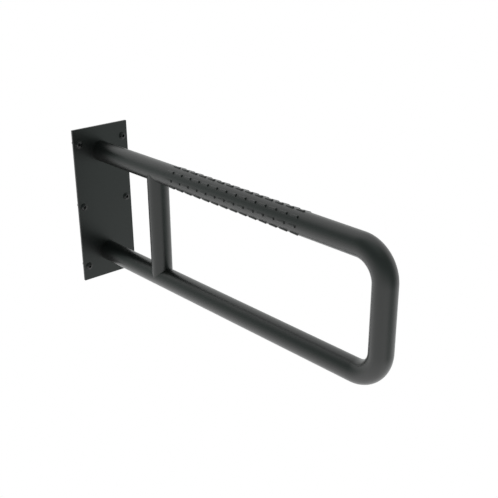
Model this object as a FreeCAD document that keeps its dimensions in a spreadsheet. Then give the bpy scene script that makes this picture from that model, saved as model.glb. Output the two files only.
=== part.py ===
"""Wall-mounted grab bar: a U-bent tube on a screwed wall plate, with a short tube between its two rails.

The wall plate stands on the wall. One tube leaves it at the top, runs straight out, turns down through
two bends and comes back to the plate below. A short upright of the same tube, coped at both ends, ties
the two rails together near the wall. The upper rail has a grip zone of short raised ribs, in rows round
the tube. The rails stand square on the plate, the welds are dressed flush, and six countersunk screws
hold the plate to the wall.

Frame: origin at the centre of the plate's back face, +X away from the wall, +Z up, millimetres.
"""
import FreeCAD, Part
import math
import os
import Sketcher

# Driving sizes in millimetres, apart from the counts: name, value, what it is
SIZES = [
    ("plate_width", 100.0, "wall plate, across the wall"),
    ("plate_height", 250.0, "wall plate, up the wall"),
    ("plate_thickness", 3.0, "wall plate, off the wall"),
    ("plate_corner_radius", 1.0, "wall plate, its four corners"),
    ("plate_rim_chamfer", 0.4, "wall plate, broken edge of the front rim"),
    ("hole_side_margin", 9.5, "from a hole's centre to the plate's nearer side"),
    ("hole_end_margin", 23.5, "from a corner hole's centre to the plate's top or bottom"),
    ("hole_diameter", 6.5, "screw hole at the back of the plate"),
    ("countersink_diameter", 12.0, "screw hole at the front of the plate"),
    ("screw_diameter", 5.0, "screw, its shank"),
    ("screw_head_diameter", 9.2, "screw, its flat head"),
    ("screw_length", 16.0, "screw, from the top of the head to the end"),
    ("socket_flats", 4.0, "screw, across the flats of the socket"),
    ("socket_depth", 2.2, "screw, depth of the socket"),
    ("tube_diameter", 32.0, "rail tube, outside"),
    ("tube_wall", 2.0, "rail tube, wall"),
    ("rail_spacing", 168.0, "between the axes of the two rails"),
    ("rail_reach", 588.0, "from the wall to the axis of the end tube"),
    ("bend_radius", 40.0, "rail tube, bends on its axis"),
    ("brace_offset", 150.0, "from the wall to the axis of the brace"),
    ("brace_diameter", 32.0, "brace tube, outside"),
    ("brace_wall", 2.0, "brace tube, wall"),
    ("brace_tip_trim", 2.0, "brace tube, cut off the thin tips of each cope"),
    ("rib_start", 190.9, "from the wall to the start of the first rib"),
    ("rib_pitch", 19.2, "between ribs along the rail"),
    ("rib_length", 13.7, "rib, from its start to its square end"),
    ("rib_nose", 1.2, "rib, its sloped nose at the start"),
    ("rib_nose_dip", 0.2, "rib, how far the nose starts under the tube's surface"),
    ("rib_nose_width", 3.4, "rib, across its foot at the start and behind the nose"),
    ("rib_nose_height", 1.0, "rib, height behind the nose"),
    ("rib_end_width", 4.0, "rib, across its foot at the end"),
    ("rib_end_height", 1.4, "rib, height at the end"),
    ("rib_root", 0.8, "rib, how far it is rooted in the tube's wall"),
    ("rib_flank_lean", 12.0, "rib, lean of its two flanks, in degrees"),
    ("rib_count", 14, "ribs in one row along the rail"),
    ("rib_rows", 8, "rows of ribs round the rail"),
]

HALF_ACROSS = "(Sizes.plate_width / 2 - Sizes.hole_side_margin)"
HALF_UP = "(Sizes.plate_height / 2 - Sizes.hole_end_margin)"
COUNTERSINK_ANGLE = 90.0
FULL_TURN = 360.0
HEXAGON = 6

doc = FreeCAD.newDocument("GrabBar")
sheet = doc.addObject("Spreadsheet::Sheet", "Sizes")


def fill_sheet():
    """Write each driving size to its row of the sheet, under its own alias."""
    for row, (name, value, note) in enumerate(SIZES, start=1):
        sheet.set(f"A{row}", name)
        sheet.set(f"B{row}", str(value))
        sheet.set(f"C{row}", note)
        sheet.setAlias(f"B{row}", name)
    doc.recompute()


def size(name):
    """The value of one driving size."""
    return float(getattr(sheet, name))


def new_body(label):
    """An empty body that carries the label of its sub-part."""
    body = doc.addObject("PartDesign::Body", label)
    body.Label = label
    return body


def new_sketch(body, name, role):
    """A sketch on one of the body's own origin planes."""
    sketch = body.newObject("Sketcher::SketchObject", name)
    plane = next(item for item in body.Origin.OriginFeatures if item.Role == role)
    sketch.AttachmentSupport = [(plane, "")]
    sketch.MapMode = "FlatFace"
    return sketch


def point(x, y):
    return FreeCAD.Vector(x, y, 0.0)


def add_line(sketch, start, end, construction=False):
    """A straight line between two points. Gives its index."""
    return sketch.addGeometry(Part.LineSegment(point(*start), point(*end)), construction)


def add_circle(sketch, centre, radius):
    """A full circle. Gives its index."""
    normal = FreeCAD.Vector(0, 0, 1)
    return sketch.addGeometry(Part.Circle(point(*centre), normal, radius), False)


def dimension(sketch, name, expression, *arguments):
    """A named dimension of the sketch, driven by the sheet."""
    index = sketch.addConstraint(Sketcher.Constraint(*arguments))
    sketch.renameConstraint(index, name)
    sketch.setExpression(f"Constraints.{name}", expression)


def add_polygon(sketch, corners):
    """A closed outline through the given corners. Gives the index of its first side."""
    first = None
    count = len(corners)
    for number, corner in enumerate(corners):
        side = add_line(sketch, corner, corners[(number + 1) % count])
        first = side if first is None else first
    for number in range(count):
        following = first + (number + 1) % count
        sketch.addConstraint(Sketcher.Constraint("Coincident", first + number, 2, following, 1))
    return first


def add_rectangle(sketch, width_name, width, height_name, height):
    """A rectangle centred on the sketch's origin, its two sides driven by the sheet."""
    half_width = width / 2
    half_height = height / 2
    corners = [
        (-half_width, -half_height),
        (half_width, -half_height),
        (half_width, half_height),
        (-half_width, half_height),
    ]
    bottom = add_polygon(sketch, corners)
    for side, kind in enumerate(("Horizontal", "Vertical", "Horizontal", "Vertical")):
        sketch.addConstraint(Sketcher.Constraint(kind, bottom + side))
    opposite_corners = (bottom, 1, bottom + 2, 1, -1, 1)
    sketch.addConstraint(Sketcher.Constraint("Symmetric", *opposite_corners))
    dimension(sketch, "width", f"Sizes.{width_name}", "DistanceX", bottom, 1, bottom, 2, width)
    dimension(sketch, "height", f"Sizes.{height_name}", "DistanceY", bottom + 1, 1, bottom + 1, 2, height)


def edges_where(shape, test):
    """Names of the edges of a shape for which the test holds."""
    return [f"Edge{number}" for number, edge in enumerate(shape.Edges, start=1) if test(edge)]


def runs_along_x(edge):
    """Whether an edge is a straight line parallel to X."""
    box = edge.BoundBox
    return box.YLength < 1e-6 and box.ZLength < 1e-6


def add_edge_break(body, kind, name, base, edges, size_property, size_name):
    """A fillet or a chamfer on the named edges of a feature."""
    feature = body.newObject(f"PartDesign::{kind}", name)
    feature.Base = (base, edges)
    feature.setExpression(size_property, f"Sizes.{size_name}")
    doc.recompute()
    return feature


def make_wall_plate():
    """Flat steel plate with rounded corners and six countersunk holes in two columns."""
    body = new_body("wall_plate")
    outline = new_sketch(body, "PlateOutline", "YZ_Plane")
    add_rectangle(outline, "plate_width", size("plate_width"), "plate_height", size("plate_height"))
    pad = body.newObject("PartDesign::Pad", "PlatePad")
    pad.Profile = outline
    pad.setExpression("Length", "Sizes.plate_thickness")
    doc.recompute()

    corners = edges_where(pad.Shape, runs_along_x)
    rounded = add_edge_break(body, "Fillet", "PlateCorners", pad, corners, "Radius", "plate_corner_radius")
    front = size("plate_thickness")
    front_rim = edges_where(rounded.Shape, lambda edge: edge.BoundBox.XMin > front - 1e-6)
    rim = add_edge_break(body, "Chamfer", "PlateRim", rounded, front_rim, "Size", "plate_rim_chamfer")

    centres = new_sketch(body, "HoleCentres", "YZ_Plane")
    centres.setExpression("AttachmentOffset.Base.z", "Sizes.plate_thickness")
    for column in (-1, 1):
        for row in (-1, 0, 1):
            add_hole_centre(centres, column, row)
    doc.recompute()
    holes = body.newObject("PartDesign::Hole", "ScrewHoles")
    holes.Profile = centres
    holes.ThreadType = "None"
    holes.DepthType = "ThroughAll"
    holes.HoleCutType = "Countersink"
    holes.HoleCutCustomValues = True
    holes.HoleCutCountersinkAngle = COUNTERSINK_ANGLE
    holes.setExpression("Diameter", "Sizes.hole_diameter")
    holes.setExpression("HoleCutDiameter", "Sizes.countersink_diameter")
    body.Tip = holes
    doc.recompute()
    return body, [(rim, holes)]


def add_hole_centre(sketch, column, row):
    """One circle that marks a hole: column is -1 or 1, row is -1, 0 or 1."""
    across = column * (size("plate_width") / 2 - size("hole_side_margin"))
    up = row * (size("plate_height") / 2 - size("hole_end_margin"))
    circle = add_circle(sketch, (across, up), size("hole_diameter") / 2)
    tag = f"hole_{column + 1}_{row + 1}"
    dimension(sketch, f"{tag}_size", "Sizes.hole_diameter", "Diameter", circle, size("hole_diameter"))
    dimension(sketch, f"{tag}_across", f"{column} * {HALF_ACROSS}", "DistanceX", -1, 1, circle, 3, across)
    if row == 0:
        sketch.addConstraint(Sketcher.Constraint("PointOnObject", circle, 3, -1))
    else:
        dimension(sketch, f"{tag}_up", f"{row} * {HALF_UP}", "DistanceY", -1, 1, circle, 3, up)


def make_screw(label, column, row):
    """Short countersunk screw with a hexagon socket, seated in one hole of the plate."""
    body = new_body(label)
    head_radius = size("screw_head_diameter") / 2
    shank_radius = size("screw_diameter") / 2
    length = size("screw_length")
    cone_length = head_radius - shank_radius

    profile = new_sketch(body, "ScrewProfile", "XZ_Plane")
    corners = [
        (0, 0),
        (-length, 0),
        (-length, shank_radius),
        (-cone_length, shank_radius),
        (0, head_radius),
    ]
    first = add_polygon(profile, corners)
    end_face, shank, cone, head_face = range(first + 1, first + 5)
    profile.addConstraint(Sketcher.Constraint("Coincident", first, 1, -1, 1))
    profile.addConstraint(Sketcher.Constraint("Horizontal", first))
    profile.addConstraint(Sketcher.Constraint("Vertical", end_face))
    profile.addConstraint(Sketcher.Constraint("Horizontal", shank))
    profile.addConstraint(Sketcher.Constraint("Vertical", head_face))
    dimension(profile, "length", "Sizes.screw_length", "DistanceX", first, 2, first, 1, length)
    dimension(profile, "head_radius", "Sizes.screw_head_diameter / 2",
              "DistanceY", head_face, 2, head_face, 1, head_radius)
    dimension(profile, "shank_radius", "Sizes.screw_diameter / 2",
              "DistanceY", first, 2, shank, 1, shank_radius)
    dimension(profile, "cone_length", "(Sizes.screw_head_diameter - Sizes.screw_diameter) / 2",
              "DistanceX", cone, 1, cone, 2, cone_length)
    turned = body.newObject("PartDesign::Revolution", "ScrewTurned")
    turned.Profile = profile
    turned.ReferenceAxis = (profile, ["H_Axis"])
    turned.Angle = FULL_TURN

    socket_outline = new_sketch(body, "SocketOutline", "YZ_Plane")
    add_hexagon(socket_outline)
    socket = body.newObject("PartDesign::Pocket", "Socket")
    socket.Profile = socket_outline
    socket.setExpression("Length", "Sizes.socket_depth")
    body.Tip = socket

    seat = "Sizes.plate_thickness - (Sizes.countersink_diameter - Sizes.screw_head_diameter) / 2"
    body.setExpression("Placement.Base.x", seat)
    body.setExpression("Placement.Base.y", f"{column} * {HALF_ACROSS}")
    body.setExpression("Placement.Base.z", f"{row} * {HALF_UP}")
    doc.recompute()
    return body, [(turned, socket)]


def add_hexagon(sketch):
    """Regular hexagon round the sketch's origin, its size set across the flats."""
    corner_radius = size("socket_flats") / 2 / math.cos(math.pi / HEXAGON)
    turns = [2 * math.pi * number / HEXAGON for number in range(HEXAGON)]
    corners = [(corner_radius * math.cos(turn), corner_radius * math.sin(turn)) for turn in turns]
    first = add_polygon(sketch, corners)
    ring = sketch.addGeometry(Part.Circle(point(0, 0), FreeCAD.Vector(0, 0, 1), corner_radius), True)
    sketch.addConstraint(Sketcher.Constraint("Coincident", ring, 3, -1, 1))
    dimension(sketch, "corner_radius", f"Sizes.socket_flats / 2 / cos(180 deg / {HEXAGON})",
              "Radius", ring, corner_radius)
    for number in range(HEXAGON):
        sketch.addConstraint(Sketcher.Constraint("PointOnObject", first + number, 1, ring))
    for number in range(1, HEXAGON):
        sketch.addConstraint(Sketcher.Constraint("Equal", first, first + number))
    sketch.addConstraint(Sketcher.Constraint("PointOnObject", first, 1, -1))


def add_annulus(sketch, centre_height, outer_name, wall_name):
    """Two concentric circles, the section of a tube, a height above the sketch's origin."""
    outer = size(outer_name) / 2
    wall = size(wall_name)
    height = size("rail_spacing") / 2 if centre_height else 0.0
    outside = add_circle(sketch, (0, height), outer)
    inside = add_circle(sketch, (0, height), outer - wall)
    sketch.addConstraint(Sketcher.Constraint("Coincident", outside, 3, inside, 3))
    if centre_height:
        sketch.addConstraint(Sketcher.Constraint("PointOnObject", outside, 3, -2))
        dimension(sketch, "height", centre_height, "DistanceY", -1, 1, outside, 3, height)
    else:
        sketch.addConstraint(Sketcher.Constraint("Coincident", outside, 3, -1, 1))
    dimension(sketch, "outside", f"Sizes.{outer_name}", "Diameter", outside, 2 * outer)
    dimension(sketch, "inside", f"Sizes.{outer_name} - 2 * Sizes.{wall_name}",
              "Diameter", inside, 2 * (outer - wall))


def add_rail_path(sketch):
    """The tube's axis: out along the upper rail, down the end tube, back along the lower rail."""
    start = size("plate_thickness")
    reach = size("rail_reach")
    half = size("rail_spacing") / 2
    bend = size("bend_radius")
    quarter = math.pi / 2
    normal = FreeCAD.Vector(0, 0, 1)
    upper = add_line(sketch, (start, half), (reach - bend, half))
    upper_circle = Part.Circle(point(reach - bend, half - bend), normal, bend)
    upper_bend = sketch.addGeometry(Part.ArcOfCircle(upper_circle, 0, quarter), False)
    end = add_line(sketch, (reach, half - bend), (reach, bend - half))
    lower_circle = Part.Circle(point(reach - bend, bend - half), normal, bend)
    lower_bend = sketch.addGeometry(Part.ArcOfCircle(lower_circle, -quarter, 0), False)
    lower = add_line(sketch, (reach - bend, -half), (start, -half))
    for line, kind in ((upper, "Horizontal"), (end, "Vertical"), (lower, "Horizontal")):
        sketch.addConstraint(Sketcher.Constraint(kind, line))
    joins = [
        (upper, 2, upper_bend, 2),
        (upper_bend, 1, end, 1),
        (end, 2, lower_bend, 2),
        (lower_bend, 1, lower, 1),
    ]
    for join in joins:
        sketch.addConstraint(Sketcher.Constraint("Tangent", *join))
    sketch.addConstraint(Sketcher.Constraint("Symmetric", upper, 1, lower, 2, -1))
    dimension(sketch, "start", "Sizes.plate_thickness", "DistanceX", -1, 1, upper, 1, start)
    dimension(sketch, "reach", "Sizes.rail_reach", "DistanceX", -1, 1, end, 1, reach)
    dimension(sketch, "spacing", "Sizes.rail_spacing", "DistanceY", lower, 2, upper, 1, 2 * half)
    dimension(sketch, "upper_bend", "Sizes.bend_radius", "Radius", upper_bend, bend)
    dimension(sketch, "lower_bend", "Sizes.bend_radius", "Radius", lower_bend, bend)


def add_rib_section(body, name, distance, width_name, top_rule, top_rise):
    """Section of a rib, square to the rail, at a distance from the wall: flat top and leaning flanks.

    The foot lies inside the tube's wall, and the top a rise above the tube's surface, or below it
    where the rise is negative.
    """
    sketch = new_sketch(body, name, "YZ_Plane")
    sketch.setExpression("AttachmentOffset.Base.z", distance)
    sketch.setExpression("AttachmentOffset.Base.y", "Sizes.rail_spacing / 2")
    surface = size("tube_diameter") / 2
    foot = surface - size("rib_root")
    top = surface + top_rise
    foot_half = size(width_name) / 2
    top_half = foot_half - (top - foot) * math.tan(math.radians(size("rib_flank_lean")))
    corners = [(-foot_half, foot), (foot_half, foot), (top_half, top), (-top_half, top)]
    bottom = add_polygon(sketch, corners)
    upper = bottom + 2
    for side in (bottom, upper):
        sketch.addConstraint(Sketcher.Constraint("Symmetric", side, 1, side, 2, -2))
    dimension(sketch, "foot", "Sizes.tube_diameter / 2 - Sizes.rib_root",
              "DistanceY", -1, 1, bottom, 2, foot)
    dimension(sketch, "top", f"Sizes.tube_diameter / 2 + {top_rule}", "DistanceY", -1, 1, upper, 1, top)
    dimension(sketch, "foot_width", f"Sizes.{width_name}",
              "DistanceX", bottom, 1, bottom, 2, 2 * foot_half)
    lean = f"(Sizes.rib_root + {top_rule}) * tan(Sizes.rib_flank_lean * 1 deg)"
    dimension(sketch, "top_width", f"Sizes.{width_name} - 2 * {lean}",
              "DistanceX", upper, 2, upper, 1, 2 * top_half)
    return sketch


def add_rib(body):
    """The first rib on top of the upper rail. Gives its first section and the rib.

    It rises out of the tube's surface with a short sloped nose, then grows wider and higher towards
    its square end, so that a hand that slides outwards is stopped.
    """
    sections = [
        ("RibStart", "Sizes.rib_start", "rib_nose_width", "-Sizes.rib_nose_dip", -size("rib_nose_dip")),
        ("RibShoulder", "Sizes.rib_start + Sizes.rib_nose",
         "rib_nose_width", "Sizes.rib_nose_height", size("rib_nose_height")),
        ("RibEnd", "Sizes.rib_start + Sizes.rib_length",
         "rib_end_width", "Sizes.rib_end_height", size("rib_end_height")),
    ]
    start, shoulder, end = [add_rib_section(body, *section) for section in sections]
    doc.recompute()
    rib = body.newObject("PartDesign::AdditiveLoft", "Rib")
    rib.Profile = start
    rib.Sections = [shoulder, end]
    rib.Ruled = True
    doc.recompute()
    return start, rib


def repeat_round_rail(body, sketch, rib):
    """Repeat the rib along the rail and round it. The sketch's normal is the rail's axis."""
    along = body.newObject("PartDesign::LinearPattern", "RibsAlong")
    along.Direction = (sketch, ["N_Axis"])
    along.setExpression("Length", "Sizes.rib_pitch * (Sizes.rib_count - 1)")
    along.setExpression("Occurrences", "Sizes.rib_count")
    around = body.newObject("PartDesign::PolarPattern", "RibsAround")
    around.Axis = (sketch, ["N_Axis"])
    around.Angle = FULL_TURN
    around.setExpression("Occurrences", "Sizes.rib_rows")
    pattern = body.newObject("PartDesign::MultiTransform", "RibPattern")
    pattern.Originals = [rib]
    pattern.Transformations = [along, around]
    body.Tip = pattern
    doc.recompute()
    return pattern


def make_rail_tube():
    """The one bent tube: both rails, the end tube and two bends, with the ribs on the upper rail."""
    body = new_body("rail_tube")
    section = new_sketch(body, "RailSection", "YZ_Plane")
    section.setExpression("AttachmentOffset.Base.z", "Sizes.plate_thickness")
    add_annulus(section, "Sizes.rail_spacing / 2", "tube_diameter", "tube_wall")
    path = new_sketch(body, "RailPath", "XZ_Plane")
    add_rail_path(path)
    doc.recompute()
    pipe = body.newObject("PartDesign::AdditivePipe", "RailPipe")
    pipe.Profile = section
    pipe.Spine = path
    doc.recompute()
    sketch, rib = add_rib(body)
    pattern = repeat_round_rail(body, sketch, rib)
    return body, [(rib, pipe), (pattern, rib)]


def make_brace_tube():
    """Upright tube between the rails, each end coped to fit round a rail."""
    body = new_body("brace_tube")
    section = new_sketch(body, "BraceSection", "XY_Plane")
    add_annulus(section, None, "brace_diameter", "brace_wall")
    pad = body.newObject("PartDesign::Pad", "BracePad")
    pad.Profile = section
    pad.Midplane = True
    pad.setExpression("Length", "Sizes.rail_spacing - 2 * Sizes.brace_tip_trim")
    doc.recompute()

    rails = new_sketch(body, "CopeCircles", "YZ_Plane")
    height = size("rail_spacing") / 2
    for side, name in ((-1, "lower"), (1, "upper")):
        circle = add_circle(rails, (0, side * height), size("tube_diameter") / 2)
        rails.addConstraint(Sketcher.Constraint("PointOnObject", circle, 3, -2))
        dimension(rails, f"{name}_height", f"{side} * Sizes.rail_spacing / 2",
                  "DistanceY", -1, 1, circle, 3, side * height)
        dimension(rails, f"{name}_size", "Sizes.tube_diameter",
                  "Diameter", circle, size("tube_diameter"))
    cope = body.newObject("PartDesign::Pocket", "Copes")
    cope.Profile = rails
    cope.Midplane = True
    cope.setExpression("Length", "2 * Sizes.brace_diameter")
    body.Tip = cope
    body.setExpression("Placement.Base.x", "Sizes.brace_offset")
    doc.recompute()
    return body, [(pad, cope)]


def check_features():
    """Stop if any object of the document failed to compute."""
    failed = [item.Name for item in doc.Objects if {"Invalid", "Error"} & set(item.State)]
    if failed:
        raise RuntimeError(f"failed objects: {failed}")


def check_steps(steps):
    """Stop if a cut or an addition changed nothing: each pair has the fuller feature first."""
    for fuller, leaner in steps:
        if leaner.Shape.Volume >= fuller.Shape.Volume - 1e-3:
            raise RuntimeError(f"no change of volume between {fuller.Name} and {leaner.Name}")


def check_solid(node):
    """Stop if a sub-part isn't one valid solid."""
    shape = node.Shape
    if shape.isNull() or not shape.isValid() or len(shape.Solids) != 1:
        raise RuntimeError(f"{node.Label} is not one valid solid")


def make_all():
    """Every sub-part of the grab bar, and the pairs of features that bound each cut or addition."""
    made = [make_wall_plate(), make_rail_tube(), make_brace_tube()]
    for row, height in ((1, "top"), (0, "middle"), (-1, "bottom")):
        for column, hand in ((-1, "left"), (1, "right")):
            made.append(make_screw(f"wall_screw_{height}_{hand}", column, row))
    nodes = [node for node, pairs in made]
    steps = [pair for node, pairs in made for pair in pairs]
    return nodes, steps


fill_sheet()
all_nodes, all_steps = make_all()
doc.recompute()
check_features()
check_steps(all_steps)
os.makedirs("parts", exist_ok=True)
for sub_part in all_nodes:
    check_solid(sub_part)
for sub_part in all_nodes:
    sub_part.Shape.exportStep(f"parts/{sub_part.Label}.step")
    print(f"{sub_part.Label}: {sub_part.Shape.Volume:.0f} mm3")
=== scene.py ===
# %% [markdown]
# A wall-mounted grab bar in black powder coat: a bent tube on a steel wall plate.
# The model comes from the CAD frame, in metres, +X away from the wall and +Z up.
# This script gives every piece its finish, and remakes the round pieces as fine smooth surfaces,
# because a tube that is drawn with few flat faces shows them in its highlights.

# %% Load the frame
import math

import bpy
import numpy as np
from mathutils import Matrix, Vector


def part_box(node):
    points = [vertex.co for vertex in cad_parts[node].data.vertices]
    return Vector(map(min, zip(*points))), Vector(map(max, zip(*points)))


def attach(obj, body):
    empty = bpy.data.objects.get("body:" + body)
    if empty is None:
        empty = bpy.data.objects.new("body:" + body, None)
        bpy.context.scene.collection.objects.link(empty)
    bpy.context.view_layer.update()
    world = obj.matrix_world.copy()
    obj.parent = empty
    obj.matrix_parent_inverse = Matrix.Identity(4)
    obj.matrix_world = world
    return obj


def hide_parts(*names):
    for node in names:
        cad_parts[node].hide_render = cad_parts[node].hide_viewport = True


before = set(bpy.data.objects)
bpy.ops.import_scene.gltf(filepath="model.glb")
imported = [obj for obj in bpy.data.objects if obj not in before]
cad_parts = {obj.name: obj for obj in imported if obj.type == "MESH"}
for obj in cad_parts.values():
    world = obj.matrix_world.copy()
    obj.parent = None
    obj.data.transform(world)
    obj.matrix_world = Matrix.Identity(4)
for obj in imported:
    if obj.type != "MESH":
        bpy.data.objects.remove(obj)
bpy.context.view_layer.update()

# %% [markdown]
# The sizes are read off the boxes of the CAD nodes, so the pieces here follow the frame.
# The brace is made of the same tube as the rail, so its box gives the tube's radius. The rail's box
# then gives its reach, the height of its two rails and, at the top, the height of the ribs.
# A box shows neither the tube's wall nor how tightly it is bent, so those two are written here.

# %% Sizes from the frame
MM = 0.001
rail_low, rail_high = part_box("rail_tube")
plate_low, plate_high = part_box("wall_plate")
brace_low, brace_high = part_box("brace_tube")
screw_low, screw_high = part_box("wall_screw_top_left")

TUBE_RADIUS = (brace_high.y - brace_low.y) / 2
TUBE_WALL = 2 * MM
BEND_RADIUS = 40 * MM
RAIL_START = rail_low.x
RAIL_REACH = rail_high.x - TUBE_RADIUS
RAIL_HEIGHT = -rail_low.z - TUBE_RADIUS
RAIL_BEND_START = RAIL_REACH - BEND_RADIUS
RIB_HEIGHT = rail_high.z + rail_low.z
BRACE_X = (brace_low.x + brace_high.x) / 2
print(f"rail: radius {TUBE_RADIUS:.4f}, reach {RAIL_REACH:.4f}, height {RAIL_HEIGHT:.4f}")
print(f"ribs: height {RIB_HEIGHT:.4f}")

# %% [markdown]
# Every new surface here is a row of rings, like a stack of hoops with faces stretched between them.
# It could be made with Blender's own primitives, but then its highlights would follow their few
# faces. Numpy works out all the points at once, and the mesh takes them in one call.

# %% Surfaces from rings
def grid_faces(rows, columns, close_rows):
    """Four-sided faces between neighbouring points of a grid, as an array of indices.

    Point (i, j) has the index i * columns + j. A ring always closes on itself. With close_rows,
    the last ring also joins the first.
    """
    steps = rows if close_rows else rows - 1
    i, j = np.meshgrid(np.arange(steps), np.arange(columns), indexing="ij")
    next_i = (i + 1) % rows
    next_j = (j + 1) % columns
    corners = [i * columns + j, i * columns + next_j, next_i * columns + next_j, next_i * columns + j]
    return np.stack(corners, axis=-1).reshape(-1, 4)


def mesh_from_rings(name, points, close_rows=True, flip=False):
    """A smooth mesh object from points of shape (rings, points in a ring, 3), in metres.

    Where the rows stay open, one flat face closes the first ring and one the last.
    """
    rows, columns, _ = points.shape
    faces = grid_faces(rows, columns, close_rows)
    if flip:
        faces = faces[:, ::-1]
    faces = faces.tolist()
    if not close_rows:
        faces.append(list(range(columns))[::-1])
        faces.append(list(range((rows - 1) * columns, rows * columns)))
    mesh = bpy.data.meshes.new(name)
    mesh.from_pydata(points.reshape(-1, 3).tolist(), [], faces)
    mesh.polygons.foreach_set("use_smooth", np.ones(len(mesh.polygons), bool))
    mesh.update()
    piece = bpy.data.objects.new(name, mesh)
    bpy.context.scene.collection.objects.link(piece)
    print(f"{name}: {len(mesh.vertices)} points, {len(mesh.polygons)} faces")
    return piece


# %% [markdown]
# The rail is one tube, bent twice. Its axis is a line, a quarter circle, a line, a quarter circle
# and a line back to the wall, all in the plane of the wall's normal and the vertical.
# A Blender curve with a round bevel could make it, but the ribs need rings in chosen places. So each
# station on the axis has its place and its direction, and a ring of points stands square to it.

# %% Stations along the rail
def straight_stations(start, end, places):
    """Stations on the line from start to end at the given shares of its length, 0 to 1."""
    start = np.array(start)
    end = np.array(end)
    centres = start + np.outer(places, end - start)
    direction = (end - start) / np.linalg.norm(end - start)
    return centres, np.tile(direction, (len(places), 1))


def bend_stations(centre, first_angle, last_angle, count):
    """Stations on an arc: centre plus the bend radius times (cosine, sine) of the angle."""
    angles = np.linspace(first_angle, last_angle, count)
    turn = np.sign(last_angle - first_angle)
    centres = np.array(centre) + BEND_RADIUS * np.stack([np.cos(angles), np.sin(angles)], axis=1)
    directions = turn * np.stack([-np.sin(angles), np.cos(angles)], axis=1)
    return centres, directions


def ring_surface(centres, directions, radii, angles):
    """Rings of points round stations in the XZ plane.

    Each point is the centre plus its radius times (cosine of the angle towards -Y, sine of the angle
    towards the station's upper side). The upper side is the direction turned a quarter left.
    """
    upper = np.stack([-directions[:, 1], directions[:, 0]], axis=1)
    out = radii * np.cos(angles)
    up = radii * np.sin(angles)
    x = centres[:, 0:1] + up * upper[:, 0:1]
    z = centres[:, 1:2] + up * upper[:, 1:2]
    return np.stack([x, -out, z], axis=-1)


print("length of a bend", round(BEND_RADIUS * math.pi / 2, 4))

# %% [markdown]
# The grip zone of the upper rail has raised ribs in eight rows round the tube. Each rib rises out of
# the surface with a short nose, grows wider and higher away from the wall, and ends square, so that
# a hand that slides outwards is stopped. A bump in the material would leave the outline smooth, so
# the ribs are real. The lines of the grid follow their edges, so a few faces make a crisp rib.

# %% Sizes of the ribs
RIB_PITCH = 19.2 * MM
RIB_LENGTH = 13.7 * MM
RIB_START = 190.9 * MM
RIB_NOSE = 1.2 * MM
RIB_NOSE_WIDTH = 3.0 * MM
RIB_NOSE_HEIGHT = 1.0 * MM
RIB_NOSE_SHARE = 1 / 3
RIB_END_WIDTH = 3.6 * MM
RIB_END_ROUNDING = 0.35 * MM
RIB_COUNT = 14
RIB_ROWS = 8
print("ribs", RIB_COUNT * RIB_ROWS, "over", round((RIB_COUNT - 1) * RIB_PITCH + RIB_LENGTH, 4))


# %% Rings along a row of ribs
def rib_rings():
    """Place, half width and height of each ring of the grid over all ribs of one row.

    Over the nose, a share q from 0 to 1, the height is the nose's height times the square root of
    1 - (1 - q) squared, and the half width grows from a third to the whole. Behind it both grow
    evenly up to the end. Over the rounded edge of the end the height falls by the same rule.
    Rings of no height close before and behind each rib keep its shading off the plain tube.
    """
    before = np.array([-0.6, -0.15]) * MM
    nose = np.array([0.0, 0.08, 0.25, 0.5, 0.75])
    body = np.array([0.0, 0.15, 0.3, 0.45, 0.6, 0.75, 0.9, 1.0])
    edge = np.array([0.35, 0.65, 0.85, 0.96, 1.0])
    behind = np.array([0.05, 0.2, 0.6]) * MM
    places = np.concatenate([
        before,
        nose * RIB_NOSE,
        RIB_NOSE + body * (RIB_LENGTH - RIB_NOSE - RIB_END_ROUNDING),
        RIB_LENGTH - RIB_END_ROUNDING * (1 - edge),
        RIB_LENGTH + behind,
    ])
    widths = np.concatenate([
        np.full(len(before), RIB_NOSE_WIDTH * RIB_NOSE_SHARE),
        RIB_NOSE_WIDTH * (RIB_NOSE_SHARE + (1 - RIB_NOSE_SHARE) * np.sqrt(nose)),
        RIB_NOSE_WIDTH + (RIB_END_WIDTH - RIB_NOSE_WIDTH) * body,
        np.full(len(edge) + len(behind), RIB_END_WIDTH),
    ])
    heights = np.concatenate([
        np.zeros(len(before)),
        RIB_NOSE_HEIGHT * np.sqrt(1 - (1 - nose) ** 2),
        RIB_NOSE_HEIGHT + (RIB_HEIGHT - RIB_NOSE_HEIGHT) * body,
        RIB_HEIGHT * np.sqrt(1 - edge ** 2),
        np.zeros(len(behind)),
    ])
    starts = RIB_START + RIB_PITCH * np.arange(RIB_COUNT)
    all_places = (starts[:, None] + places[None, :]).ravel()
    return all_places, np.tile(widths / 2, RIB_COUNT), np.tile(heights, RIB_COUNT)


print("rings over the ribs", len(rib_rings()[0]))


# %% The section through the grip
def grip_section(halves, heights):
    """Angles and radii of the rings: a flat-topped rib on each row's middle line, tube between.

    Across a rib, a share u from -1 to 1, the height is the ring's height times the fourth root of
    1 - u to the fourth, so the top is flat, its shoulders are round and its flanks are steep.
    """
    across = np.array([0.0, 0.3, 0.6, 0.8, 0.92, 0.98, 1.0])
    across = np.concatenate([-across[:0:-1], across])
    beside = np.array([0.02, 0.15, 0.4, 0.7, 1.0])
    half_pitch = math.pi * TUBE_RADIUS / RIB_ROWS
    gap = half_pitch - halves[:, None]
    right = halves[:, None] + gap * beside[None, :]
    left = -right[:, -2::-1]
    arcs = np.concatenate([left, halves[:, None] * across[None, :], right], axis=1)
    bump = heights[:, None] * (1 - across ** 4)[None, :] ** 0.25
    plain = np.zeros_like(right)
    rises = np.concatenate([plain[:, 1:], bump, plain], axis=1)
    middles = 2 * math.pi / RIB_ROWS * np.arange(RIB_ROWS)
    angles = (middles[None, :, None] + arcs[:, None, :] / TUBE_RADIUS).reshape(len(halves), -1)
    return angles, TUBE_RADIUS + np.tile(rises, (1, RIB_ROWS))


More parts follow.
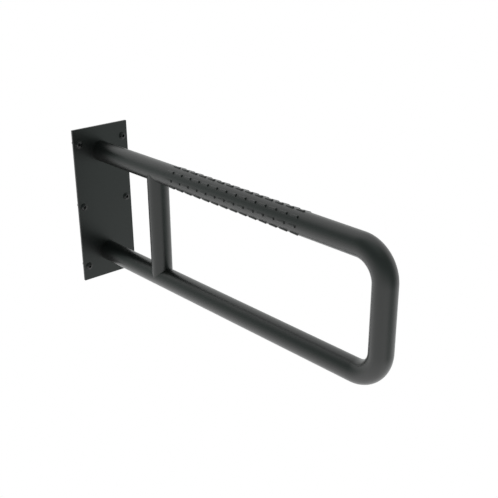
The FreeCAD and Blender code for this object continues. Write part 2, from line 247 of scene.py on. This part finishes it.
plain_angles, plain_radii = grip_section(np.array([RIB_END_WIDTH / 2]), np.zeros(1))
print("points in a ring", plain_angles.size, "plain radius", round(plain_radii.max(), 4))

# %% [markdown]
# The outer skin and the bore are joined at the two open ends, where the tube stands on the plate.
# So the whole rail is one closed skin of real wall thickness, as a cut tube is. Solidify could give
# the wall, but it would press the ribs into the bore too, so the bore has rings of its own. A ring
# stands close to each open end, because smooth shading turns the light within the last strip.

# %% Places along the rails
END_RING = 0.1 * MM
RIB_CLEARANCE = 2 * MM
STRAIGHT_STEPS = 25


def plain_places():
    """Evenly spread places along a rail, from the wall to the bend, with the ring near the wall."""
    places = np.linspace(RAIL_START, RAIL_BEND_START, STRAIGHT_STEPS)
    return np.insert(places, 1, RAIL_START + END_RING)


def upper_rail_rings(with_ribs):
    """Places along the upper rail, with the half width and height of a rib at each."""
    places = plain_places()
    halves = np.full_like(places, RIB_END_WIDTH / 2)
    heights = np.zeros_like(places)
    if with_ribs:
        own_places, own_halves, own_heights = rib_rings()
        before = places < own_places.min() - RIB_CLEARANCE
        clear = before | (places > own_places.max() + RIB_CLEARANCE)
        places = np.concatenate([places[clear], own_places])
        order = np.argsort(places)
        places = places[order]
        halves = np.concatenate([halves[clear], own_halves])[order]
        heights = np.concatenate([heights[clear], own_heights])[order]
    return places, halves, heights


print("places along the upper rail", len(upper_rail_rings(with_ribs=True)[0]))


# %% Stations of the whole rail
BEND_STEPS = 33
UPRIGHT_STEPS = 9


def rail_stations(with_ribs):
    """Stations of the rail's axis, out on the upper rail and back on the lower, with rib sizes."""
    places, halves, heights = upper_rail_rings(with_ribs)
    length = RAIL_BEND_START - RAIL_START
    bend_z = RAIL_HEIGHT - BEND_RADIUS
    quarter = math.pi / 2
    upper_start, upper_end = (RAIL_START, RAIL_HEIGHT), (RAIL_BEND_START, RAIL_HEIGHT)
    lower_start, lower_end = (RAIL_BEND_START, -RAIL_HEIGHT), (RAIL_START, -RAIL_HEIGHT)
    lower_shares = (RAIL_BEND_START - plain_places()[::-1]) / length
    runs = [
        straight_stations(upper_start, upper_end, (places - RAIL_START) / length),
        bend_stations((RAIL_BEND_START, bend_z), quarter, 0.0, BEND_STEPS),
        straight_stations((RAIL_REACH, bend_z), (RAIL_REACH, -bend_z), np.linspace(0, 1, UPRIGHT_STEPS)),
        bend_stations((RAIL_BEND_START, -bend_z), 0.0, -quarter, BEND_STEPS),
        straight_stations(lower_start, lower_end, lower_shares),
    ]
    centres = np.concatenate([runs[0][0]] + [centre[1:] for centre, _ in runs[1:]])
    directions = np.concatenate([runs[0][1]] + [direction[1:] for _, direction in runs[1:]])
    rest = len(centres) - len(halves)
    halves = np.concatenate([halves, np.full(rest, RIB_END_WIDTH / 2)])
    return centres, directions, halves, np.concatenate([heights, np.zeros(rest)])


print("stations of the whole rail", len(rail_stations(with_ribs=True)[0]))


# %% The rail tube
def make_rail():
    """Outer rings with the ribs on them, then bore rings back the other way, closed both ways."""
    centres, directions, halves, heights = rail_stations(with_ribs=True)
    angles, radii = grip_section(halves, heights)
    outer = ring_surface(centres, directions, radii, angles)
    centres, directions, halves, heights = rail_stations(with_ribs=False)
    angles, radii = grip_section(halves, heights)
    bore = ring_surface(centres, directions, radii - TUBE_WALL, angles)
    piece = mesh_from_rings("rail_tube_skin", np.concatenate([outer, bore[::-1]]))
    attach(piece, "root")
    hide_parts("rail_tube")
    return piece


rail = make_rail()

# %% [markdown]
# The brace is a short piece of the same tube. Each end is coped, cut to the shape of the rail
# that it meets, and the weld there is dressed flush and coated over, so the joint is a plain line.
# A boolean could cut the copes, but it leaves slivers that show in the shading. One formula for the
# height of the end keeps the grid even.

# %% The brace tube
BRACE_SIDES = 96
BRACE_STEPS = 41


def brace_wall(radius):
    """Rings of one wall of the brace, from its lower end to its upper end.

    At an angle round the brace, y is the radius times the sine, and the end's height is the rail's
    height less the square root of the rail's radius squared minus y squared.
    """
    angles = np.linspace(0, 2 * math.pi, BRACE_SIDES, endpoint=False)
    y = radius * np.sin(angles)
    end = RAIL_HEIGHT - np.sqrt(np.maximum(TUBE_RADIUS ** 2 - y ** 2, 0.0))
    near_end = END_RING / (RAIL_HEIGHT - TUBE_RADIUS)
    shares = np.linspace(-1, 1, BRACE_STEPS)
    shares = np.insert(shares, [1, BRACE_STEPS - 1], [near_end - 1, 1 - near_end])
    z = shares[:, None] * end[None, :]
    x = np.broadcast_to(BRACE_X + radius * np.cos(angles), z.shape)
    return np.stack([x, np.broadcast_to(y, z.shape), z], axis=-1)


def make_brace():
    """Upright tube whose ends follow the rails: outer wall, then the bore back, closed both ways."""
    points = np.concatenate([brace_wall(TUBE_RADIUS), brace_wall(TUBE_RADIUS - TUBE_WALL)[::-1]])
    piece = mesh_from_rings("brace_tube_skin", points, flip=True)
    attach(piece, "root")
    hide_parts("brace_tube")
    return piece


brace = make_brace()

# %% [markdown]
# Six short button head screws hold the plate. A head stands on the plate's face, and its flange
# covers the countersunk hole. A screw is turned, so its skin is a profile carried round its axis:
# socket floor, socket wall, flat top, dome, flange, plain neck, threaded shank and end. A Screw
# modifier could spin it, but every ring would be round. Here a ring has its own radius at each
# angle, so the rings of the socket can follow the sides of a hexagon.

# %% Sizes of the screws
SCREW_SIDES = 48
SCREW_EDGE = 0.1 * MM
SCREW_TIP = 0.02 * MM
SCREW_TOP_RADIUS = 2.6 * MM
SCREW_DOME_RADIUS = (screw_high.y - screw_low.y) / 2
SCREW_DOME_STEPS = 9
SCREW_HEAD_HEIGHT = 2.75 * MM
SCREW_FLANGE_RADIUS = 6.05 * MM
SCREW_FLANGE_HEIGHT = 0.5 * MM
SCREW_SHANK_RADIUS = 2.5 * MM
SCREW_NECK_END = plate_low.x - 0.5 * MM
SCREW_END = screw_low.x
SCREW_END_CHAMFER = 0.8 * MM
SOCKET_FLATS = 4.0 * MM
SOCKET_DEPTH = 2.2 * MM
THREAD_START = SCREW_NECK_END - 0.3 * MM
THREAD_PITCH = 0.8 * MM
THREAD_DEPTH = 0.45 * MM
THREAD_RUN_OUT = 1.0 * MM
THREAD_STEPS = 150
print("screw: length behind the plate", round(plate_low.x - SCREW_END, 4))


# %% The head's profile
def hexagon_radius(angles, flats):
    """Distance from the middle to a regular hexagon's side, at each angle."""
    sixth = math.pi / 3
    folded = (angles + sixth / 2) % sixth - sixth / 2
    return flats / 2 / np.cos(folded)


def screw_head(angles):
    """Place along X and radii of each ring of a head, from the socket's floor to the neck's end.

    The dome is a quarter of an ellipse. At each angle of a quarter turn, its radius is the flat
    top's plus the rest times the sine, and its height the flange's plus the rest times the cosine.
    """
    circle = np.ones_like(angles)
    socket = hexagon_radius(angles, SOCKET_FLATS)
    face = plate_high.x
    rim = face + SCREW_FLANGE_HEIGHT
    top = face + SCREW_HEAD_HEIGHT
    bottom = top - SOCKET_DEPTH
    quarter = np.linspace(0, math.pi / 2, SCREW_DOME_STEPS)
    dome_x = rim + (top - rim) * np.cos(quarter)
    dome_radii = SCREW_TOP_RADIUS + (SCREW_DOME_RADIUS - SCREW_TOP_RADIUS) * np.sin(quarter)
    return [
        (bottom, SCREW_TIP * circle),
        (bottom, socket - SCREW_EDGE),
        (bottom, socket),
        (bottom + SCREW_EDGE, socket),
        (top - SCREW_EDGE, socket),
        (top, socket + SCREW_EDGE),
        *[(x, radius * circle) for x, radius in zip(dome_x, dome_radii)],
        (rim, (SCREW_DOME_RADIUS + SCREW_EDGE) * circle),
        (rim, (SCREW_FLANGE_RADIUS - SCREW_EDGE) * circle),
        (rim - SCREW_EDGE, SCREW_FLANGE_RADIUS * circle),
        (face, SCREW_FLANGE_RADIUS * circle),
        (face, (SCREW_FLANGE_RADIUS - SCREW_EDGE) * circle),
        (face, (SCREW_SHANK_RADIUS + SCREW_EDGE) * circle),
        (face - SCREW_EDGE, SCREW_SHANK_RADIUS * circle),
        (SCREW_NECK_END, SCREW_SHANK_RADIUS * circle),
    ]


print("rings of a head", len(screw_head(np.zeros(1))))

# %% [markdown]
# The thread shows behind the plate, where the wall would be. It fades in behind the neck, as a
# rolled thread does, and a small chamfer ends it. A bump in the material would leave the shank's
# outline straight, so the thread is a wave in the radius of the rings.

# %% The thread and the whole screw
def smooth_step(value):
    """0 below 0, 1 above 1, and a smooth S between: 3 v squared minus 2 v cubed."""
    v = np.clip(value, 0.0, 1.0)
    return v * v * (3 - 2 * v)


def screw_points(y, z):
    """All rings of the screw whose axis is at y and z, from the socket's floor to the shank's end.

    The thread's radius is the shank's radius less the thread's depth times a triangle wave of
    (distance along over pitch, plus turn), so its ridge climbs one pitch in each turn.
    """
    angles = np.linspace(0, 2 * math.pi, SCREW_SIDES, endpoint=False)
    circle = np.ones_like(angles)
    along = np.linspace(THREAD_START, SCREW_END + SCREW_END_CHAMFER, THREAD_STEPS)
    phase = along[:, None] / THREAD_PITCH + angles[None, :] / (2 * math.pi)
    wave = 2 * np.abs(phase % 1.0 - 0.5)
    fade = smooth_step((SCREW_NECK_END - along) / THREAD_RUN_OUT)[:, None]
    thread = SCREW_SHANK_RADIUS - THREAD_DEPTH * fade * (1 - wave)
    end_radius = SCREW_SHANK_RADIUS - SCREW_END_CHAMFER
    head = screw_head(angles)
    end = [(SCREW_END, end_radius * circle), (SCREW_END, SCREW_TIP * circle)]
    x = np.concatenate([[place for place, _ in head], along, [place for place, _ in end]])
    radius = np.concatenate([[ring for _, ring in head], thread, [ring for _, ring in end]])
    ring_x = np.broadcast_to(x[:, None], radius.shape)
    return np.stack([ring_x, y + radius * np.cos(angles), z + radius * np.sin(angles)], axis=-1)


print("turns of thread", round((THREAD_START - SCREW_END) / THREAD_PITCH, 1))


# %% The six screws
def make_screw(node):
    """One screw on the axis of a CAD screw, with the same shank and end."""
    low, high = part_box(node)
    points = screw_points((low.y + high.y) / 2, (low.z + high.z) / 2)
    piece = mesh_from_rings(f"{node}_turned", points, close_rows=False)
    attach(piece, "root")
    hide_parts(node)
    return piece


screw_nodes = [name for name in sorted(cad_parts) if name.startswith("wall_screw")]
screws = [make_screw(name) for name in screw_nodes]
print("screws", len(screws))

# %% [markdown]
# The colour of a finish is written as sRGB hex, as on a colour card, and turned to linear light.
# One small function adds a shader node with its settings and links. A socket is named by its
# label, or by its number where several share one label.

# %% Colour and node helpers
RANGE_SOCKETS = ("From Min", "From Max", "To Min", "To Max")


def linear_colour(hex_text):
    """Linear red, green, blue and alpha from an sRGB hex text such as 2b2e2d.

    A share s is divided by 12.92 where it is small. Above that it is (s + 0.055) / 1.055 to the
    power of 2.4.
    """
    shares = [int(hex_text[place:place + 2], 16) / 255 for place in (0, 2, 4)]
    linear = [s / 12.92 if s <= 0.04045 else ((s + 0.055) / 1.055) ** 2.4 for s in shares]
    return (*linear, 1.0)


def add_node(tree, kind, settings=None, inputs=None, links=None):
    """A shader node of a kind, with attributes set, socket values set, and sockets linked."""
    node = tree.nodes.new(kind)
    for name, value in (settings or {}).items():
        setattr(node, name, value)
    for name, value in (inputs or {}).items():
        node.inputs[name].default_value = value
    for name, source in (links or {}).items():
        tree.links.new(source, node.inputs[name])
    return node


def new_material(name):
    """An empty node material, its tree and its output node."""
    material = bpy.data.materials.new(name)
    material.use_nodes = True
    tree = material.node_tree
    tree.nodes.clear()
    return material, tree, add_node(tree, "ShaderNodeOutputMaterial")


print("mid grey in linear light", round(linear_colour("808080")[0], 3))

# %% [markdown]
# Powder coat is a polyester paint, sprayed dry onto the steel and baked. It is a dielectric, so
# its shine is colourless and strong only at grazing angles. This one is black with a satin finish.
# Baking leaves a faint orange peel, soft hills a millimetre or two wide, and a finer grain. They are
# too low for points in the mesh, so the material has two noises: one makes the bumps of the peel,
# and a finer one varies the roughness. Both keep their real size. From where the camera stands they
# are too fine to be seen one by one, and only make the shine a little less even.

# %% Satin black powder coat
COAT_HEX = "060807"
COAT_IOR = 1.6
COAT_ROUGHNESS = (0.31, 0.39)
NOISE_BAND = (0.3, 0.7)
PEEL_WIDTH = 1.6 * MM
GRAIN_WIDTH = 0.35 * MM
PEEL_HEIGHT = 0.006 * MM


def make_powder_coat():
    """Satin black polyester powder coat over steel."""
    material, tree, output = new_material("powder_coat_satin_black")
    place = add_node(tree, "ShaderNodeTexCoord")
    peel = add_node(
        tree, "ShaderNodeTexNoise",
        inputs={"Scale": 1 / PEEL_WIDTH, "Detail": 1.0, "Roughness": 0.4},
        links={"Vector": place.outputs["Object"]},
    )
    grain = add_node(
        tree, "ShaderNodeTexNoise",
        inputs={"Scale": 1 / GRAIN_WIDTH, "Detail": 2.0, "Roughness": 0.6},
        links={"Vector": place.outputs["Object"]},
    )
    sheen_spots = add_node(
        tree, "ShaderNodeMapRange",
        inputs=dict(zip(RANGE_SOCKETS, NOISE_BAND + COAT_ROUGHNESS)),
        links={"Value": grain.outputs["Fac"]},
    )
    bump = add_node(
        tree, "ShaderNodeBump",
        inputs={"Strength": 1.0, "Distance": PEEL_HEIGHT},
        links={"Height": peel.outputs["Fac"]},
    )
    coat = add_node(
        tree, "ShaderNodeBsdfPrincipled",
        inputs={"Base Color": linear_colour(COAT_HEX), "IOR": COAT_IOR, "Metallic": 0.0},
        links={"Roughness": sheen_spots.outputs["Result"], "Normal": bump.outputs["Normal"]},
    )
    tree.links.new(coat.outputs["BSDF"], output.inputs["Surface"])
    return material


powder_coat = make_powder_coat()
print(powder_coat.name, "nodes", len(powder_coat.node_tree.nodes))

# %% [markdown]
# The screws are steel with a black oxide and oil finish, a conversion layer about a micrometre
# thick: about as dark as the coat, glossier, and slightly uneven where it was handled. A noise a
# few millimetres wide varies the roughness.

# %% Black oxide
OXIDE_HEX = "0a0a0b"
OXIDE_IOR = 1.5
OXIDE_ROUGHNESS = (0.18, 0.28)
OXIDE_PATCH = 2.5 * MM


def make_black_oxide():
    """Black oxide and oil on turned steel."""
    material, tree, output = new_material("black_oxide_steel")
    place = add_node(tree, "ShaderNodeTexCoord")
    patches = add_node(
        tree, "ShaderNodeTexNoise",
        inputs={"Scale": 1 / OXIDE_PATCH, "Detail": 3.0, "Roughness": 0.6},
        links={"Vector": place.outputs["Object"]},
    )
    rough = add_node(
        tree, "ShaderNodeMapRange",
        inputs=dict(zip(RANGE_SOCKETS, NOISE_BAND + OXIDE_ROUGHNESS)),
        links={"Value": patches.outputs["Fac"]},
    )
    oxide = add_node(
        tree, "ShaderNodeBsdfPrincipled",
        inputs={"Base Color": linear_colour(OXIDE_HEX), "IOR": OXIDE_IOR, "Metallic": 0.0},
        links={"Roughness": rough.outputs["Result"]},
    )
    tree.links.new(oxide.outputs["BSDF"], output.inputs["Surface"])
    return material


black_oxide = make_black_oxide()
print(black_oxide.name, "nodes", len(black_oxide.node_tree.nodes))

# %% [markdown]
# The plate, the rail and the brace were welded and then coated as one piece, so they share one
# material. The plate stays as the frame brings it, because flat faces need no finer grid.

# %% Give each piece its finish
def finish_piece(piece, material):
    """Put one material on the whole piece."""
    piece.data.materials.clear()
    piece.data.materials.append(material)


coated = [rail, brace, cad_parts["wall_plate"]]
for piece in coated:
    finish_piece(piece, powder_coat)
for piece in screws:
    finish_piece(piece, black_oxide)
print("coated pieces", len(coated), "oxide pieces", len(screws))

# %% [markdown]
# Such a bar is screwed on about three quarters of a metre above the floor, so the floor lies that
# far below it. One material makes it white to the camera and brighter than white to the black coat
# that reflects it, because the Light Path node tells what kind of ray has met it.

# %% Floor
FLOOR_DEPTH = 0.75
FLOOR_SIZE = 1.6
FLOOR_HEX = "e6e6e6"
FLOOR_LEVEL = 1.4
WHITE_HEX = "ffffff"


def make_floor():
    """Plain pale floor, white to the camera and bright in reflections."""
    half = FLOOR_SIZE / 2
    corners = [(-half, -half), (half, -half), (half, half), (-half, half)]
    mesh = bpy.data.meshes.new("floor")
    mesh.from_pydata([(x, y, -FLOOR_DEPTH) for x, y in corners], [], [(0, 1, 2, 3)])
    floor = bpy.data.objects.new("floor", mesh)
    bpy.context.scene.collection.objects.link(floor)
    material, tree, output = new_material("pale_floor")
    ray = add_node(tree, "ShaderNodeLightPath")
    pale = add_node(tree, "ShaderNodeBsdfDiffuse", inputs={"Color": linear_colour(FLOOR_HEX)})
    shader = pale.outputs["BSDF"]
    for ray_kind, level in (("Is Glossy Ray", FLOOR_LEVEL), ("Is Camera Ray", 1.0)):
        white = add_node(
            tree, "ShaderNodeEmission",
            inputs={"Color": linear_colour(WHITE_HEX), "Strength": level},
        )
        mixed = add_node(
            tree, "ShaderNodeMixShader",
            links={0: ray.outputs[ray_kind], 1: shader, 2: white.outputs["Emission"]},
        )
        shader = mixed.outputs["Shader"]
    tree.links.new(shader, output.inputs["Surface"])
    mesh.materials.append(material)
    return floor


floor = make_floor()
print(floor.name, "at", -FLOOR_DEPTH, "with sides of", FLOOR_SIZE)

# %% [markdown]
# A black object shows little but its surroundings, so they make the picture. This studio has dark
# walls, a grey ceiling, light that rises from the floor, and one long bright window wall behind
# the bar to its right. A black flag stands in front of its outer end, a little below the horizon.
# An image of a studio could be wrapped round the scene. A few smooth steps in the world's nodes do
# the same, and each of them can be changed alone.

# %% Levels of the surroundings
# A rise or a fall is the span of height, or of nearness, over which the level changes.
# WINDOW and FLAG are the directions of their middles from the bar.
WALL_LEVEL = 0.37
WALL_HEX = "eafff8"
BRIGHT_HEX = "fdfffe"
CEILING_LEVEL = 0.60
CEILING_RISE = (0.70, 1.0)
LOW_LEVEL = 1.5
LOW_RISE = (0.55, -0.90)
WINDOW_LEVEL = 1.06
WINDOW = (-0.68, 0.73, 0.06)
WINDOW_RISE = (0.04, 0.32)
FLAG = (0.94, 0.28, -0.19)
FLAG_SHADE = 0.46
FLAG_FALL = (0.80, 1.0)
print("window over walls", round(WINDOW_LEVEL / WALL_LEVEL, 2))


# %% Brightness in each direction
def add_light_level(tree):
    """The socket with the brightness of the surroundings in each direction.

    The level is the highest of three that rise smoothly from the walls' level: with the
    direction's height towards the ceiling, with its depth towards the floor, and with its
    nearness to the window, the dot product of the two directions. The flag then multiplies it.
    """
    direction = add_node(tree, "ShaderNodeTexCoord").outputs["Generated"]
    height = add_node(tree, "ShaderNodeSeparateXYZ", links={"Vector": direction}).outputs["Z"]
    to_window, to_flag = [
        add_node(
            tree, "ShaderNodeVectorMath", settings={"operation": "DOT_PRODUCT"},
            inputs={1: middle}, links={0: direction},
        ).outputs["Value"]
        for middle in (WINDOW, FLAG)
    ]
    slopes = [
        (height, CEILING_RISE + (WALL_LEVEL, CEILING_LEVEL)),
        (height, LOW_RISE + (WALL_LEVEL, LOW_LEVEL)),
        (to_window, WINDOW_RISE + (WALL_LEVEL, WINDOW_LEVEL)),
        (to_flag, FLAG_FALL + (1.0, FLAG_SHADE)),
    ]
    levels = [
        add_node(
            tree, "ShaderNodeMapRange", settings={"interpolation_type": "SMOOTHSTEP"},
            inputs=dict(zip(RANGE_SOCKETS, values)), links={"Value": source},
        ).outputs["Result"]
        for source, values in slopes
    ]
    level = levels[0]
    for operation, other in zip(("MAXIMUM", "MAXIMUM", "MULTIPLY"), levels[1:]):
        level = add_node(
            tree, "ShaderNodeMath", settings={"operation": operation}, links={0: level, 1: other},
        ).outputs["Value"]
    return level


# %% The studio round the bar
def make_world():
    """Surroundings of several grey levels, plain white where the camera sees them.

    Where the level is low the light has the walls' faint green tint, and it is white where high.
    """
    world = bpy.data.worlds.new("studio")
    bpy.context.scene.world = world
    world.use_nodes = True
    tree = world.node_tree
    tree.nodes.clear()
    output = add_node(tree, "ShaderNodeOutputWorld")
    level = add_light_level(tree)
    share = add_node(
        tree, "ShaderNodeMapRange", settings={"interpolation_type": "SMOOTHSTEP"},
        inputs=dict(zip(RANGE_SOCKETS, (WALL_LEVEL, WINDOW_LEVEL, 0.0, 1.0))),
        links={"Value": level},
    )
    tint = add_node(tree, "ShaderNodeValToRGB", links={"Fac": share.outputs["Result"]})
    tint.color_ramp.elements[0].color = linear_colour(WALL_HEX)
    tint.color_ramp.elements[1].color = linear_colour(BRIGHT_HEX)
    light = add_node(
        tree, "ShaderNodeBackground", links={"Color": tint.outputs["Color"], "Strength": level},
    )
    white = add_node(
        tree, "ShaderNodeBackground", inputs={"Color": linear_colour(WHITE_HEX), "Strength": 1.0},
    )
    ray = add_node(tree, "ShaderNodeLightPath")
    mixed = add_node(
        tree, "ShaderNodeMixShader",
        links={
            0: ray.outputs["Is Camera Ray"],
            1: light.outputs["Background"],
            2: white.outputs["Background"],
        },
    )
    tree.links.new(mixed.outputs["Shader"], output.inputs["Surface"])
    return world


world = make_world()
print(world.name, "nodes", len(world.node_tree.nodes))

# %% [markdown]
# One wide softbox hangs above the bar. It is weak beside the surroundings, and only lays a soft
# light along the tops of the tubes, where a small lamp would leave a hard bright spot.

# %% Softbox
OBJECT_MIDDLE = Vector((RAIL_REACH / 2, 0.0, 0.0))
SOFTBOX_PLACE = (0.3, 0.2, 1.6)
SOFTBOX_SIZE = (1.6, 1.2)
SOFTBOX_POWER = 1.0


def add_softbox(name, place, size, power):
    """A rectangular area lamp that faces the middle of the object."""
    lamp = bpy.data.lights.new(name, "AREA")
    lamp.shape = "RECTANGLE"
    lamp.size, lamp.size_y = size
    lamp.energy = power
    holder = bpy.data.objects.new(name, lamp)
    holder.location = Vector(place)
    holder.rotation_euler = (OBJECT_MIDDLE - holder.location).to_track_quat("-Z", "Y").to_euler()
    bpy.context.scene.collection.objects.link(holder)
    return holder


softbox = add_softbox("overhead_softbox", SOFTBOX_PLACE, SOFTBOX_SIZE, SOFTBOX_POWER)
print(softbox.name, "metres away", round((softbox.location - OBJECT_MIDDLE).length, 3))

# %% [markdown]
# The camera looks down at the bar from its outer end, a little over a metre away, with a long
# lens. It could be turned by hand until the bar fits, but angles round a target can be read and
# changed one by one. The small vertical shift frames the bar as in a cropped product picture.

# %% Camera
CAMERA_AZIMUTH = 48.25
CAMERA_ELEVATION = 24.94
CAMERA_ROLL = -0.32
CAMERA_DISTANCE = 1.2423
CAMERA_TARGET = Vector((0.3521, 0.0, -0.0529))
CAMERA_SENSOR = 36.0
CAMERA_LENS = 65.07
CAMERA_SHIFT = (-0.0015, 0.099)


def make_camera():
    """Camera on a sphere round its target, given by azimuth from -Y and elevation."""
    azimuth = math.radians(CAMERA_AZIMUTH)
    elevation = math.radians(CAMERA_ELEVATION)
    back = Vector((
        math.sin(azimuth) * math.cos(elevation),
        -math.cos(azimuth) * math.cos(elevation),
        math.sin(elevation),
    ))
    data = bpy.data.cameras.new("camera")
    data.sensor_width = CAMERA_SENSOR
    data.lens = CAMERA_LENS
    data.shift_x, data.shift_y = CAMERA_SHIFT
    camera = bpy.data.objects.new("camera", data)
    camera.location = CAMERA_TARGET + back * CAMERA_DISTANCE
    look = (-back).to_track_quat("-Z", "Y").to_matrix().to_4x4()
    roll = look.Rotation(math.radians(CAMERA_ROLL), 4, "Z")
    camera.rotation_euler = (look @ roll).to_euler()
    bpy.context.scene.collection.objects.link(camera)
    bpy.context.scene.camera = camera
    return camera


camera = make_camera()
bpy.context.scene.view_settings.view_transform = "Standard"
print("camera at", [round(value, 4) for value in camera.location])
